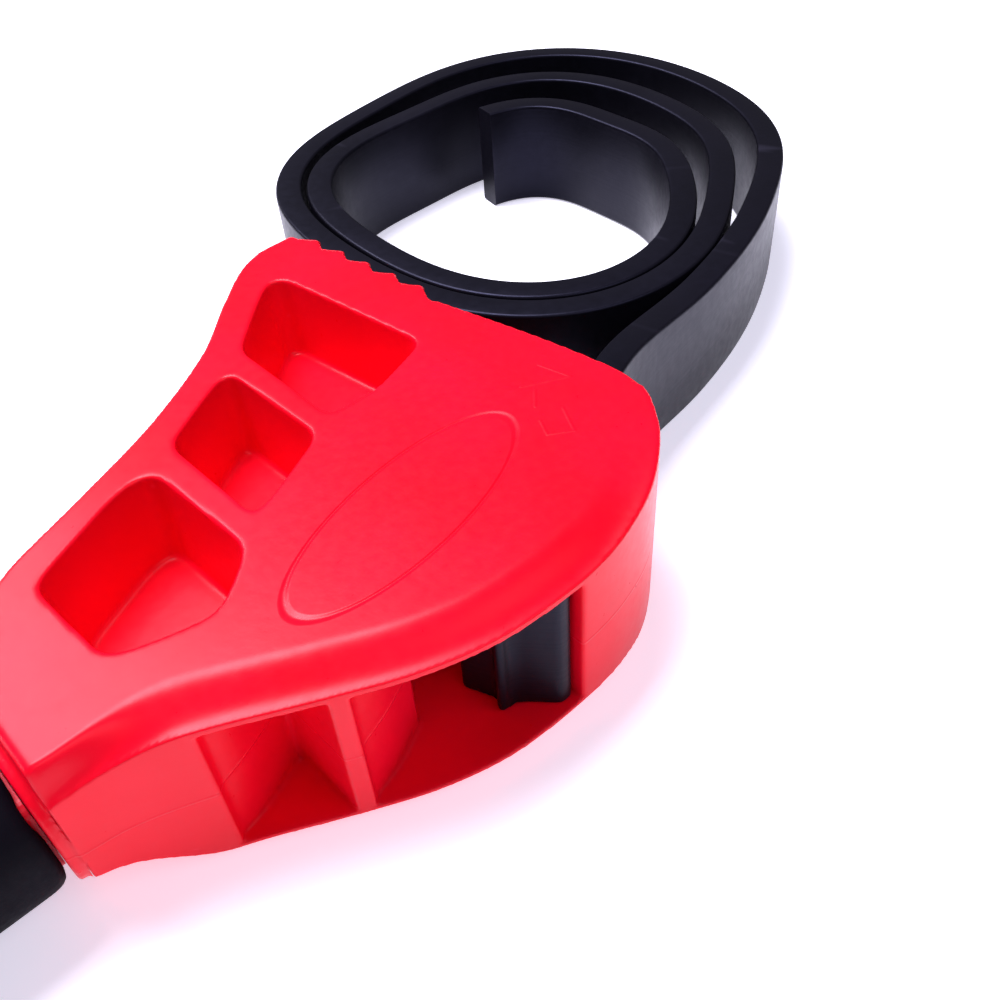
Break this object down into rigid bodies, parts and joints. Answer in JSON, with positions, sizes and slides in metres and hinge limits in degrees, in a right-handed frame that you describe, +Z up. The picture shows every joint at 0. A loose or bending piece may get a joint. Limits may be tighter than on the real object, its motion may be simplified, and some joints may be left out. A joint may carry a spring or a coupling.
{
  "type": "strap wrench",
  "caption": "Strap wrench: moulded head with a toothed jaw, pocketed plates and a side window, rubber-sleeved handle and a flat rubber strap coiled past the jaw.",
  "frame": {"origin": "middle of the footprint, on the surface the wrench lies on", "axes": "+X from the handle to the jaw, +Y toward the toothed side of the head, +Z up out of the flat it lies on"},
  "size_m": [0.2524, 0.1082, 0.022],
  "materials": {
    "red_plastic": "satin moulded ABS with softly rounded edges",
    "grip_rubber": "matt moulded rubber",
    "strap_rubber": "smooth extruded rubber with a dull sheen"
  },
  "bodies": {
    "handle": {"head_and_handle_core": "red_plastic", "grip_sleeve": "grip_rubber", "strap_anchor_lug": "strap_rubber", "strap_in_slot": "strap_rubber"},
    "strap_run": {"strap_run_by_jaw": "strap_rubber"},
    "strap_coil": {"strap_run_to_coil": "strap_rubber", "strap_coil_1": "strap_rubber", "strap_coil_2": "strap_rubber", "strap_coil_3": "strap_rubber", "strap_coil_4": "strap_rubber", "strap_coil_5": "strap_rubber", "strap_coil_6": "strap_rubber", "strap_coil_7": "strap_rubber", "strap_coil_8": "strap_rubber", "strap_coil_9": "strap_rubber", "strap_coil_10": "strap_rubber", "strap_coil_11": "strap_rubber"},
    "strap_end": {"strap_free_end": "strap_rubber"}
  },
  "joints": [
    {"name": "strap_bends_at_jaw", "type": "hinge", "parent": "handle", "child": "strap_run", "pos_m": [0.04556, -0.0338, 0.0085], "axis": [0, 0, 1], "range_deg": [-45, 0]},
    {"name": "coil_opens_on_run", "type": "hinge", "parent": "strap_run", "child": "strap_coil", "pos_m": [0.06643, -0.02871, 0.0085], "axis": [0, 0, 1], "range_deg": [-45, 0]},
    {"name": "free_end_bends", "type": "hinge", "parent": "strap_coil", "child": "strap_end", "pos_m": [0.09976, 0.00469, 0.0085], "axis": [0, 0, 1], "range_deg": [0, 30]}
  ]
}
